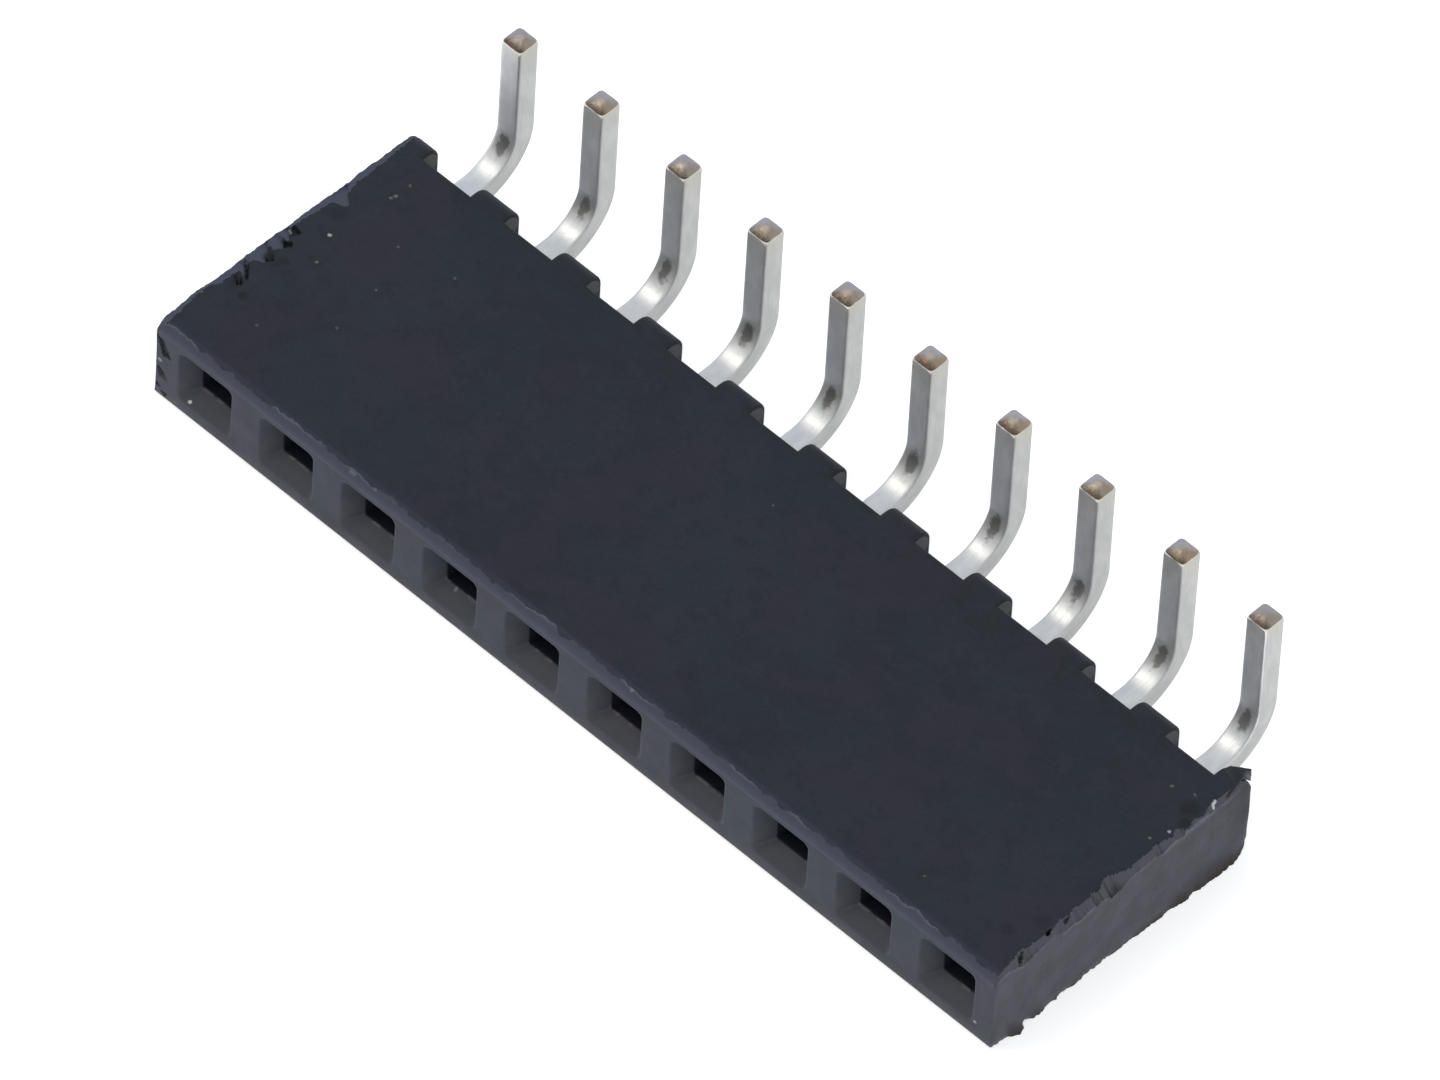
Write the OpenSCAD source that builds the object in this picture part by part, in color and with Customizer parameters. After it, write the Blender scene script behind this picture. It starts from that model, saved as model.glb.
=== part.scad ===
// Female pin header strip, one row of ten, with bent solder tails.
// It lies on its broad face with the sockets towards -Y and the tails pointing up.
// X runs along the row, Y from the mating face to the tails, Z up from the face it lies on.

/* [Row] */
// Distance from one contact to the next
pitch = 2.54; // [2.4:0.02:5.08]
// First contact's centre to the cut end beside it
end_left = 1.52; // [1.2:0.01:3]
// Last contact's centre to the cut end beside it
end_right = 1.41; // [1.2:0.01:3]
// How far the left cut runs off square from front to back
cut_skew = 0.12; // [0:0.01:0.3]

/* [Housing] */
// Thickness of the moulded body
body_t = 2.5; // [2.3:0.1:4]
// Depth from the mating face to the floor of the back notches
body_d = 7.6; // [7:0.1:11]
// How far the ribs between the notches stand behind that floor
rib_d = 0.55; // [0.3:0.05:1]
// Width of each back notch
notch_w = 1.49; // [1.45:0.01:1.8]
// Rounding of the long edge between mating face and upper face
front_r = 0.3; // [0.1:0.05:0.35]
// Rounding of the long edge between mating face and lower face
sill_r = 0.12; // [0.05:0.01:0.3]
// Rounding of the ribs' upper and lower back edges
rib_r = 0.42; // [0.1:0.02:0.6]

/* [Sockets] */
// Width of a socket's mouth on the mating face
mouth_w = 1.65; // [1.2:0.05:2]
// Height of a socket's mouth on the mating face
mouth_h = 1.6; // [1.2:0.05:1.7]
// Depth of the funnel behind the mouth
funnel_d = 0.43; // [0.2:0.01:0.8]
// Side of the square hole at the funnel's bottom
hole_w = 0.95; // [0.8:0.05:1.1]
// Depth from the mating face to the chamber
front_wall = 1; // [0.9:0.05:1.5]
// Width of the chamber that holds a contact
chamber_w = 1.4; // [1.3:0.02:1.44]
// Height of that chamber
chamber_h = 1.6; // [1.5:0.05:1.8]

/* [Solder tails] */
// Side of the square tail
tail_w = 0.6; // [0.4:0.02:0.7]
// Floor of the back notches to the tail's centre line
tail_out = 2.2; // [1.8:0.05:6]
// Height of the tail's shoulders over the upper face
tail_up = 2.9; // [1.5:0.1:6]
// Inside radius of the bend
bend_r = 1; // [0.3:0.05:1.3]
// Radius that the drawn wire has along its four edges
edge_r = 0.05; // [0.02:0.01:0.12]
// Height of the coined point over the shoulders
point_h = 0.12; // [0.05:0.01:0.3]
// Side of the small flat that the point ends in
point_w = 0.2; // [0.1:0.02:0.36]

/* [Receptacle] */
// Thickness of the folded sheet
sheet = 0.2; // [0.12:0.01:0.25]
// Gap between the folded cage and each side of the chamber
cage_gap = 0.1; // [0.05:0.01:0.15]
// Gap between the cage's rims and the chamber's upper side
rim_gap = 0.2; // [0.05:0.05:0.4]
// Length of the folded cage
cage_l = 1.4; // [0.8:0.1:2]
// Length of the flat with barbs behind the cage
barb_flat = 1.2; // [0.8:0.1:1.5]
// Length of the step up from that flat to the tail
step_l = 0.75; // [0.5:0.05:1]
// How far inside the notch floor the step ends
step_in = 0.45; // [0.2:0.05:0.8]
// Gap between the two springs where they pinch the pin
pinch_gap = 0.36; // [0.2:0.02:0.5]
// Chamber's front wall to that pinch
pinch_in = 0.9; // [0.6:0.05:1.2]
// How far each spring's tip turns out again
flare = 0.2; // [0.1:0.01:0.22]
// Chamber's front wall to the springs' tips
tip_gap = 0.15; // [0.05:0.05:0.3]
// Width of a spring at its root
spring_root = 1; // [0.6:0.05:1.1]
// Width of a spring at its tip
spring_tip = 0.7; // [0.4:0.05:0.9]

/* [Torn flake] */
// Length of the flake along the cut end, from its root to its tip
flake_l = 0.7; // [0.5:0.05:1]
// How far its root reaches along the last rib's back
flake_w = 0.65; // [0.3:0.05:0.65]
// How far the tip reaches behind the rib
flake_back = 0.04; // [0.02:0.01:0.3]
// Height of the tip over the upper face
flake_up = 0.22; // [0.05:0.01:0.4]
// Thickness of the flake
flake_t = 0.2; // [0.1:0.01:0.3]

/* [Hidden] */
NODES = ["housing", "contact_01", "contact_02", "contact_03", "contact_04", "contact_05",
         "contact_06", "contact_07", "contact_08", "contact_09", "contact_10"];
$fn = 48;
// Overshoot that carries a cut clear of the face it opens
over = 0.2;
// Overlap that fuses two lengths of one contact
lap = 0.05;

contact_count = len(NODES) - 1;
row_l = (contact_count - 1) * pitch + end_left + end_right;
body_full_d = body_d + rib_d;
total_d = body_d + tail_out + tail_w / 2;
mid_z = body_t / 2;
floor_z = mid_z - chamber_h / 2;

// Places along the depth, counted from the mating face
step_end = body_d - step_in;
step_start = step_end - step_l;
cage_end = step_start - barb_flat;
cage_start = cage_end - cage_l;
pinch_y = front_wall + pinch_in;
tip_y = front_wall + tip_gap;
tail_y = body_d + tail_out;

bend_y = tail_y - tail_w / 2 - bend_r;
bend_z = mid_z + tail_w / 2 + bend_r;
shoulder_z = body_t + tail_up;
cage_w = chamber_w - 2 * cage_gap;
cage_h = chamber_h - rim_gap;

// Root of the flake on the last rib, counted from the rib's back
flake_inset = 0.18;
// Barbs along each side of the flat
barbs = 2;
barb_flank = 0.8;
barb_crest = 0.12;
// Steps of the curves that a spring follows
spring_steps = 8;

function contact_x(i) = -row_l / 2 + end_left + (i - 1) * pitch;

// Distance of a spring's middle from the contact's axis, at a depth y
function spring_x(y) =
    let (pinched = (pinch_gap + sheet) / 2,
         rooted = (cage_w - sheet) / 2)
    y > pinch_y
        ? pinched + (rooted - pinched) * (1 - cos(180 * (y - pinch_y) / (cage_start - pinch_y))) / 2
        : pinched + flare * pow((pinch_y - y) / (pinch_y - tip_y), 2);

// Depths at which a spring's outline is drawn, from its tip to just inside the cage
spring_ys = [for (k = [0 : spring_steps / 2]) tip_y + (pinch_y - tip_y) * 2 * k / spring_steps,
             for (k = [1 : spring_steps]) pinch_y + (cage_start - pinch_y) * k / spring_steps];

// Extrudes a Y-Z outline along X, centred on x = 0
module along_x(length) {
    rotate([90, 0, 90])
        linear_extrude(length, center = true)
            children();
}

// Extrudes an X-Z outline along Y, from y = 0 backwards
module along_y(length) {
    translate([0, length, 0])
        rotate([90, 0, 0])
            linear_extrude(length)
                children();
}

// What a rounding of radius r takes off a corner that lies at the origin, body towards +X +Y
module corner_waste(r) {
    difference() {
        translate([-over, -over])
            square(r + over);
        translate([r, r])
            circle(r);
    }
}

// Square section of the tail with its four drawn edges
module wire_section() {
    difference() {
        square(tail_w, center = true);
        for (a = [0 : 90 : 270])
            rotate(a)
                translate([-tail_w / 2, -tail_w / 2])
                    corner_waste(edge_r);
    }
}

// Side outline of the moulded body, mating face at y = 0
module body_outline() {
    difference() {
        square([body_full_d, body_t]);
        corner_waste(sill_r);
        translate([0, body_t])
            mirror([0, 1])
                corner_waste(front_r);
        translate([body_full_d, 0])
            mirror([1, 0])
                corner_waste(rib_r);
        translate([body_full_d, body_t])
            rotate(180)
                corner_waste(rib_r);
    }
}

// Plan of the body between its two cut ends
module body_plan() {
    polygon([[-row_l / 2, 0],
             [row_l / 2, 0],
             [row_l / 2, body_full_d],
             [-row_l / 2 + cut_skew, body_full_d]]);
}

// Tapered mouth that leads a pin into its hole
module funnel() {
    half_mouth = mouth_w / 2;
    half_hole = hole_w / 2;
    intersection() {
        linear_extrude(body_t)
            polygon([[-half_mouth, 0], [half_mouth, 0], [half_hole, funnel_d], [-half_hole, funnel_d]]);
        translate([0, 0, mid_z])
            along_x(pitch)
                polygon([[0, -mouth_h / 2], [0, mouth_h / 2], [funnel_d, half_hole], [funnel_d, -half_hole]]);
    }
}

// Everything that one contact's place takes out of the body
module socket_cut() {
    funnel();
    translate([-hole_w / 2, funnel_d - lap, mid_z - hole_w / 2])
        cube([hole_w, front_wall - funnel_d + 2 * lap, hole_w]);
    translate([-chamber_w / 2, front_wall, floor_z])
        cube([chamber_w, body_full_d - front_wall, chamber_h]);
    translate([-notch_w / 2, body_d, -over])
        cube([notch_w, rib_d + over, body_t + 2 * over]);
}

// Corner of the last rib that the cut tore up: a thin triangle, raised about its root
module flake() {
    root_end = [row_l / 2, body_full_d + flake_back - flake_l];
    root_rib = [row_l / 2 - flake_w, body_full_d - flake_inset];
    tip = [row_l / 2, body_full_d + flake_back];
    along = root_rib - root_end;
    reach = cross(tip - root_end, along) / norm(along);
    slab = 2 * (flake_l + flake_w);
    intersection() {
        linear_extrude(body_t + flake_up)
            polygon([root_end, root_rib, tip]);
        translate([root_end[0], root_end[1], body_t])
            rotate([0, 0, atan2(along[1], along[0])])
                rotate([-atan(flake_up / reach), 0, 0])
                    translate([0, 0, -flake_t / 2])
                        cube([slab, slab, flake_t], center = true);
    }
}

module housing() {
    color([0.17, 0.18, 0.22])
    translate([0, -total_d / 2, 0]) {
        difference() {
            intersection() {
                along_x(row_l)
                    body_outline();
                linear_extrude(body_t)
                    body_plan();
            }
            for (i = [1 : contact_count])
                translate([contact_x(i), 0, 0])
                    socket_cut();
        }
        flake();
    }
}

// Square tail: a leg through the open back of the chamber, one bend, and the upright with its point
module tail() {
    leg_start = step_end - lap;
    half = tail_w / 2;
    translate([0, leg_start, mid_z])
        along_y(bend_y - leg_start)
            wire_section();
    translate([0, bend_y, bend_z])
        rotate([0, 90, 0])
            rotate_extrude(angle = 90)
                translate([bend_r + half, 0])
                    wire_section();
    translate([0, tail_y, bend_z])
        linear_extrude(shoulder_z - bend_z)
            wire_section();
    translate([0, tail_y, shoulder_z])
        point();
}

// Low four-sided point, coined on the tail's end
module point() {
    half = tail_w / 2;
    flat = point_w / 2;
    outline = [[-half, -lap], [half, -lap], [half, 0], [flat, point_h], [-flat, point_h], [-half, 0]];
    intersection() {
        along_x(tail_w)
            polygon(outline);
        translate([0, -half, 0])
            along_y(tail_w)
                polygon(outline);
        translate([0, 0, -lap])
            linear_extrude(point_h + lap)
                wire_section();
    }
}

// Plan of the flat and the step: two barbs a side, then narrowing to the tail
module flat_plan() {
    half = cage_w / 2;
    barb_l = barb_flat / barbs;
    module side() {
        translate([0, cage_end - lap])
            square([half, barb_flat + lap]);
        for (k = [0 : barbs - 1])
            translate([half - lap, cage_end + k * barb_l])
                polygon([[0, 0],
                         [cage_gap + lap, barb_l * barb_flank - barb_crest],
                         [cage_gap + lap, barb_l * barb_flank],
                         [0, barb_l * barb_flank]]);
        polygon([[0, step_start], [half, step_start], [tail_w / 2, step_end], [0, step_end]]);
    }
    side();
    mirror([1, 0])
        side();
}

// Side of the flat on the chamber's floor and of the step that brings it up to the tail
module flat_outline() {
    polygon([[cage_end - lap, floor_z],
             [step_start, floor_z],
             [step_end, mid_z - tail_w / 2],
             [step_end, mid_z + tail_w / 2],
             [step_start, floor_z + sheet],
             [cage_end - lap, floor_z + sheet]]);
}

module barbed_flat() {
    intersection() {
        linear_extrude(body_t)
            flat_plan();
        along_x(chamber_w)
            flat_outline();
    }
}

// Cage: the sheet folded up on both sides, open at the top
module cage() {
    half = cage_w / 2;
    translate([0, cage_start, floor_z])
        along_y(cage_l)
            difference() {
                translate([-half, 0])
                    square([cage_w, cage_h]);
                for (side = [0, 1])
                    mirror([side, 0])
                        translate([-half, 0])
                            corner_waste(sheet);
                translate([-half + sheet, sheet])
                    square([cage_w - 2 * sheet, cage_h]);
            }
}

// One of the two springs, drawn on the +X side: it closes to the pinch and turns out at its tip
module spring() {
    outer = [for (y = spring_ys) [spring_x(y) + sheet / 2, y]];
    inner = [for (k = [len(spring_ys) - 1 : -1 : 0]) [spring_x(spring_ys[k]) - sheet / 2, spring_ys[k]]];
    root_y = cage_start + lap;
    root_x = (cage_w - sheet) / 2;
    intersection() {
        linear_extrude(body_t)
            polygon(concat(outer,
                           [[root_x + sheet / 2, root_y], [root_x - sheet / 2, root_y]],
                           inner));
        along_x(chamber_w)
            polygon([[tip_y, mid_z - spring_tip / 2],
                     [root_y, mid_z - spring_root / 2],
                     [root_y, mid_z + spring_root / 2],
                     [tip_y, mid_z + spring_tip / 2]]);
    }
}

module contact(i) {
    color([0.78, 0.78, 0.76])
    translate([contact_x(i), -total_d / 2, 0]) {
        tail();
        barbed_flat();
        cage();
        for (side = [0, 1])
            mirror([side, 0, 0])
                spring();
    }
}

housing();
contact(1);  // contact_01
contact(2);  // contact_02
contact(3);  // contact_03
contact(4);  // contact_04
contact(5);  // contact_05
contact(6);  // contact_06
contact(7);  // contact_07
contact(8);  // contact_08
contact(9);  // contact_09
contact(10);  // contact_10
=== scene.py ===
from math import asin, cos, degrees, hypot, radians, sin, sqrt

import bmesh
import bpy
from mathutils import Matrix, Vector, noise


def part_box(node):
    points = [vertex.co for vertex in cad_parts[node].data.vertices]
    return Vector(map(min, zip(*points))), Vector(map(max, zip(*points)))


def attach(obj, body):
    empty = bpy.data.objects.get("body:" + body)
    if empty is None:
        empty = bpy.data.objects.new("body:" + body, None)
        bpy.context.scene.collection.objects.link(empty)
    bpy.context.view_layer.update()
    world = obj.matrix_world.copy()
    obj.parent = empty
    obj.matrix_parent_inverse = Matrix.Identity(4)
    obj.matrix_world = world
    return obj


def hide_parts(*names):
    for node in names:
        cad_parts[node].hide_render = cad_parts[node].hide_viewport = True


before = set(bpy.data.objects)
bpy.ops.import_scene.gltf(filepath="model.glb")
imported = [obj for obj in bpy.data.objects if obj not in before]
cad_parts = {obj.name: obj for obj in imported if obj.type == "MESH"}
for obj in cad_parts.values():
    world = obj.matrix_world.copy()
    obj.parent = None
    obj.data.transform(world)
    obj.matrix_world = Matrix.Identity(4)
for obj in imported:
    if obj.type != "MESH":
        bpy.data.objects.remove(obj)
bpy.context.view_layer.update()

# Housing: the bar that keeps the ten contacts apart, moulded in one shot from black glass-filled plastic.
# Each contact has a funnel mouth, a square hole, a chamber and, at the back, a notch between two ribs.
# Sizes are in millimetres, with Y counted from the mating face, and are scaled when a mesh becomes an object.
MM = 0.001
contact_nodes = sorted(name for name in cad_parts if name.startswith("contact_"))
housing_low, housing_high = (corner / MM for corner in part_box("housing"))
front_y = housing_low.y
cut_left, cut_right = housing_low.x, housing_high.x
contact_xs = [(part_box(name)[0].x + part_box(name)[1].x) / 2 / MM for name in contact_nodes]
pitch = (contact_xs[-1] - contact_xs[0]) / (len(contact_xs) - 1)

# The bar's thickness, and its depth to the floors of the notches and over the ribs
body_t, body_d, full_d = 2.5, 7.6, 8.15
mid_z = body_t / 2
# Its long edges: the upper front one as moulded and as worn flatter, the lower front one, and the ribs' two
front_r, worn_r, sill_r, rib_r = 0.3, 0.36, 0.12, 0.42
fillet_steps = 10
notch_half, notch_round, notch_steps = 0.745, 0.08, 3
# How far the bar goes past the middle of an end socket before the finer net of the cut end begins
land_half = 0.9
# Points this close are made one, and places this close count as the same
weld_gap, same_place = 0.0005, 1e-3

# A socket from the mating face to the floor of the notch: depth, width, height, corner, easing
socket_profile = [
    (0, 1.75, 1.7, 0.2, 0),
    (0, 1.65, 1.6, 0.17, 0.035),
    (0.43, 0.95, 0.95, 0.04, 0.025),
    (1.0, 0.95, 0.95, 0.04, 0.02),
    (1.0, 1.4, 1.6, 0.05, 0.02),
    (body_d, 1.4, 1.6, 0.05, 0.015),
    (body_d, 1.44, 1.64, 0.06, 0),
]


def arc(centre_y, centre_z, radius, start, steps, sweep=90):
    """A turn anticlockwise, from start degrees on."""
    turns = [radians(start + sweep * k / steps) for k in range(steps + 1)]
    return [(centre_y + radius * cos(a), centre_z + radius * sin(a)) for a in turns]


def side_outline(steps):
    """The body's side outline in two parts: round the back between the notch floors, and round the front."""
    back = [(body_d, 0)]
    back += arc(full_d - rib_r, rib_r, rib_r, -90, steps)
    back += arc(full_d - rib_r, body_t - rib_r, rib_r, 0, steps)
    back += [(body_d, body_t)]
    front = [(body_d, body_t)]
    middle = (front_r + sqrt(2 * worn_r ** 2 - front_r ** 2)) / 2
    meets = degrees(asin((middle - front_r) / worn_r))
    front += arc(middle, body_t - middle, worn_r, 90 + meets, steps, 90 - 2 * meets)
    front += arc(sill_r, sill_r, sill_r, 180, steps)
    front += [(body_d, 0)]
    return back, front


def rounded(width, height, corner, steps=4, fill=0):
    """A rounded rectangle, anticlockwise from its lower right corner, with fill more points on each side."""
    bends = []
    for quarter, (side, rise) in enumerate(((1, -1), (1, 1), (-1, 1), (-1, -1))):
        across, up = side * (width / 2 - corner), rise * (height / 2 - corner)
        bends.append(arc(across, up, corner, 90 * (quarter - 1), steps))
    points = []
    for bend, following in zip(bends, bends[1:] + bends[:1]):
        (x0, z0), (x1, z1) = bend[-1], following[0]
        shares = [k / (fill + 1) for k in range(1, fill + 1)]
        points += bend + [(x0 + (x1 - x0) * t, z0 + (z1 - z0) * t) for t in shares]
    return points


def eased(stations, steps=3):
    """Stations with each inner one eased into a short curve, as long as its last number says."""
    found = [stations[0][:-1]]
    for before, here, after in zip(stations, stations[1:], stations[2:]):
        ends = []
        for other in (before, after):
            length = hypot(other[0] - here[0], (other[1] - here[1]) / 2)
            share = here[-1] / length
            ends.append([h + (o - h) * share for h, o in zip(here[:-1], other[:-1])])
        for k in range(steps + 1):
            t = k / steps
            found.append(tuple((1 - t) ** 2 * a + 2 * t * (1 - t) * h + t * t * b
                               for a, h, b in zip(ends[0], here[:-1], ends[1])))
    return found + [stations[-1][:-1]]


def skin(mesh, points):
    """One face through these points."""
    return mesh.faces.new([mesh.verts.new(p) for p in points])


def frame_round(mesh, corners, opening):
    """The flat face between a rectangle, anticlockwise from its lower right corner, and a rounded opening."""
    per_corner = len(opening) // 4
    for quarter in range(4):
        bend = opening[quarter * per_corner:(quarter + 1) * per_corner]
        following = opening[(quarter + 1) * per_corner % len(opening)]
        for a, b in zip(bend, bend[1:]):
            skin(mesh, [corners[quarter], b, a])
        skin(mesh, [corners[quarter], corners[(quarter + 1) % 4], following, bend[-1]])


def loft(mesh, rings, closed=False):
    """Quads from each ring of points to the next, with an end cap on both if closed."""
    made = [[mesh.verts.new(p) for p in ring] for ring in rings]
    for one, other in zip(made, made[1:]):
        for k in range(len(one)):
            mesh.faces.new([one[k - 1], one[k], other[k], other[k - 1]])
    if closed:
        mesh.faces.new(made[0])
        mesh.faces.new(list(reversed(made[-1])))


def socket(mesh, x, left, right):
    """One contact's place in the bar, from x = left to x = right: skin, ribs, notch, chamber and mouth."""
    back, front = side_outline(fillet_steps)
    notch = (x - notch_half, x + notch_half)
    for (y0, z0), (y1, z1) in zip(front, front[1:]):
        if y0 == y1 == 0:
            continue
        low_edge = [(left, y0, z0), (right, y0, z0)]
        if y0 == body_d:
            low_edge[1:1] = [(notch[0], y0, z0), (notch[1], y0, z0)]
        high_edge = [(right, y1, z1), (left, y1, z1)]
        if y1 == body_d:
            high_edge[1:1] = [(notch[1], y1, z1), (notch[0], y1, z1)]
        skin(mesh, low_edge + high_edge)
    for start, end in ((left, notch[0]), (notch[1], right)):
        for (y0, z0), (y1, z1) in zip(back, back[1:]):
            skin(mesh, [(start, y0, z0), (end, y0, z0), (end, y1, z1), (start, y1, z1)])
    for side in notch:
        # The notches' moulded sides take the lighter cut finish, which paints light on them
        skin(mesh, [(side, y, z) for y, z in back]).material_index = 1

    rings = [[(x + px, y, mid_z + pz) for px, pz in rounded(width, height, corner)]
             for y, width, height, corner in eased(socket_profile)]
    loft(mesh, rings)
    lip_low, lip_high = sill_r, body_t - front_r
    frame_round(mesh, [(right, 0, lip_low), (right, 0, lip_high), (left, 0, lip_high), (left, 0, lip_low)],
                rings[0])
    frame_round(mesh, [(notch[1], body_d, 0), (notch[1], body_d, body_t), (notch[0], body_d, body_t),
                       (notch[0], body_d, 0)], rings[-1])


def notch_edges(mesh):
    """The edges where the notches cut into the ribs and the two broad faces."""
    found = []
    for edge in mesh.edges:
        (x0, y0, z0), (x1, y1, z1) = (v.co for v in edge.verts)
        on_notch = any(max(abs(abs(x0 - x) - notch_half), abs(abs(x1 - x) - notch_half)) < same_place
                       for x in contact_xs)
        on_floor = max(abs(y0 - body_d), abs(y1 - body_d)) < same_place
        on_broad_face = z0 == z1 and z0 in (0, body_t)
        if on_notch and min(y0, y1) > body_d - same_place and (on_broad_face or not on_floor):
            found.append(edge)
    return found


bar = bmesh.new()
for index, x in enumerate(contact_xs):
    left = x - land_half if index == 0 else x - pitch / 2
    right = x + land_half if index == len(contact_xs) - 1 else x + pitch / 2
    socket(bar, x, left, right)
bmesh.ops.remove_doubles(bar, verts=bar.verts, dist=weld_gap)
bmesh.ops.recalc_face_normals(bar, faces=bar.faces)
bmesh.ops.bevel(bar, geom=notch_edges(bar), offset=notch_round, offset_type="OFFSET", segments=notch_steps,
                profile=0.5, affect="EDGES", clamp_overlap=True)

# Cut ends: the strip is moulded long and cut to length, which leaves ragged faces with torn edges, burrs and
# clefts. Each end is a fine net over the last stretch beside an end socket.
net_gap = 0.033
across_y, across_z = 224, 68
outline_steps = 32
# Nicks fade into the mating face, burrs inwards, the lower edge's raggedness upwards, and the upper face's
# damage down the rounded edges. The cut face takes on its rim's raggedness over so many rows of the net.
nick_reach, burr_reach, lower_reach = 0.05, 0.12, 0.25
upper_from, upper_over = 0.75 * body_t, 0.2 * body_t
ragged_rows = 6
# The skin is a little uneven beside the cut, above this height. Damage of this depth shows the bare inside.
uneven, uneven_above = 0.01, 0.3
bared_from = 0.01

# Places along an end are depths from the mating face. A tear is how far in from the cut the upper edge tore,
# a burr is its place, half its length and how far out it stands, and the lower edge has a course of its own.
# Chips, the deeper clefts and the nicks in the mating face (front) are strips of flat three-cornered facets.
# Each corner is how far in it is, at which depth (or height, on the front), and how deep the facet is there.
ends = {
    "left": {
        "cut": cut_left, "border": contact_xs[0] - land_half,
        "skew": 0.12, "slope": 0.12, "step": 0.02, "seed": 3.0,
        "tears": [(0, 0.1), (0.5, 0.13), (0.8, 0.07), (1.6, 0.06), (1.85, 0.17), (2.3, 0.15), (2.8, 0.17),
                  (3.3, 0.16), (3.7, 0.15), (4.2, 0.1), (5.0, 0.16), (5.4, 0.22), (6.2, 0.13), (8.2, 0.1)],
        "burrs": [(1.1, 0.6, 0.04), (3.2, 2.5, 0.035), (6.6, 0.6, 0.03)],
        "lower": [(0, 0.03), (8.2, 0)],
        "chips": [
            [(0, 3.75, 0.02), (0.24, 3.66, 0), (0.03, 4.06, 0.09), (0.35, 3.79, 0.04)],
            [(0, 3.42, 0.02), (0.24, 3.25, 0), (0.05, 3.75, 0.07), (0.4, 3.54, 0.06)],
            [(0, 2.72, 0), (0.42, 2.93, 0.03), (0.02, 3.4, 0.08), (0.17, 3.3, 0.09)],
            [(0, 2.3, 0), (0.3, 2.26, 0), (0.04, 2.64, 0.08), (0.54, 2.12, 0), (0.5, 2.29, 0.08)],
            [(0, 5.2, 0.03), (0.6, 5.4, 0.02), (0.05, 5.85, 0.08)],
        ],
        "clefts": [
            [(0.14, 3.2, 0), (0.27, 3.34, 0), (0.44, 2.95, 0.15), (0.5, 3.08, 0.12)],
            [(0.03, 2.67, 0.09), (0.16, 2.7, 0.05), (0.48, 2.3, 0.12)],
            [(0.15, 2.26, 0), (0.27, 2.32, 0), (0.47, 2.0, 0.16), (0.52, 2.08, 0.13)],
            [(0.12, 4.2, 0.1), (0.08, 4.0, 0.13), (0.36, 4.08, 0.12), (0.28, 3.87, 0.1)],
            [(0.42, 3.55, 0.13), (0.23, 3.65, 0.1), (0.51, 3.7, 0.12), (0.39, 3.77, 0.1)],
        ],
        "front": [
            [(0.25, 1.98, 0.1), (0.02, 2.08, 0.07), (0.44, 1.53, 0.1), (0.2, 1.5, 0.07)],
            [(0.22, 0.97, 0.1), (0.03, 1.04, 0.07), (0.35, 0.72, 0.1), (0.12, 0.7, 0.07)],
            [(0, 0.45, 0.1), (0.16, 0.38, 0.1), (0.04, 0.3, 0.1)],
            [(0.12, 0.27, 0.1), (0.36, 0.24, 0.1), (0.3, 0.15, 0.08)],
        ],
    },
    "right": {
        "cut": cut_right, "border": contact_xs[-1] + land_half,
        "skew": 0, "slope": 1.1, "step": 0.01, "seed": 11.0,
        "tears": [(0, 0.03), (0.8, 0.14), (1.2, 0.16), (1.8, 0.12), (3.0, 0.2), (3.9, 0.25), (4.4, 0.13),
                  (4.7, 0.09), (5.0, 0.15), (5.3, 0.2), (5.42, 0.13), (5.65, 0.05), (5.75, 0.11),
                  (5.95, 0.11), (6.02, 0.01), (6.15, 0.02), (6.25, 0.09), (6.4, 0.06), (6.5, 0.01),
                  (6.62, 0.01), (6.78, 0.06), (7.1, 0.11), (7.5, 0.07), (7.8, 0.07), (8.2, 0.05)],
        "burrs": [(0.8, 0.25, 0.06), (2.6, 0.5, 0.03), (6.1, 0.2, 0.05), (6.56, 0.15, 0.05),
                  (8.1, 0.6, -0.05)],
        "lower": [(0, -0.06), (0.42, -0.03), (0.79, 0.1), (0.98, 0.06), (1.12, -0.13), (1.34, 0.01),
                  (1.61, 0.02), (1.77, -0.02), (2.08, 0), (2.22, -0.07), (2.5, -0.05), (2.74, -0.02),
                  (4.1, 0), (6, 0.05), (7.4, 0.11), (8.2, 0.11)],
        "chips": [],
        "clefts": [
            [(0.03, 0.74, 0.2), (0.13, 0.8, 0.19), (0.2, 1.08, 0.16)],
            [(0.07, 1.7, 0.18), (0.16, 1.74, 0.17), (0.15, 1.9, 0.12)],
            [(0.08, 2.25, 0.15), (0.15, 2.3, 0.14), (0.14, 2.46, 0.1)],
        ],
        "front": [],
    },
}


def between(pairs, at):
    """The value at a place between pairs of (place, value)."""
    for (p0, v0), (p1, v1) in zip(pairs, pairs[1:]):
        if p0 <= at <= p1:
            return v0 + (v1 - v0) * (at - p0) / (p1 - p0)
    return pairs[0][1] if at < pairs[0][0] else pairs[-1][1]


def jag(place, scale, seed):
    """Uneven tearing, about -1 to 1, that changes over 1 / scale millimetres."""
    return sum(share * noise.noise(Vector((place * scale * finer, seed, shift)))
               for share, finer, shift in ((1, 1, 0.3), (0.6, 2.7, 7.1), (0.35, 6.1, 2.9)))


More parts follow.
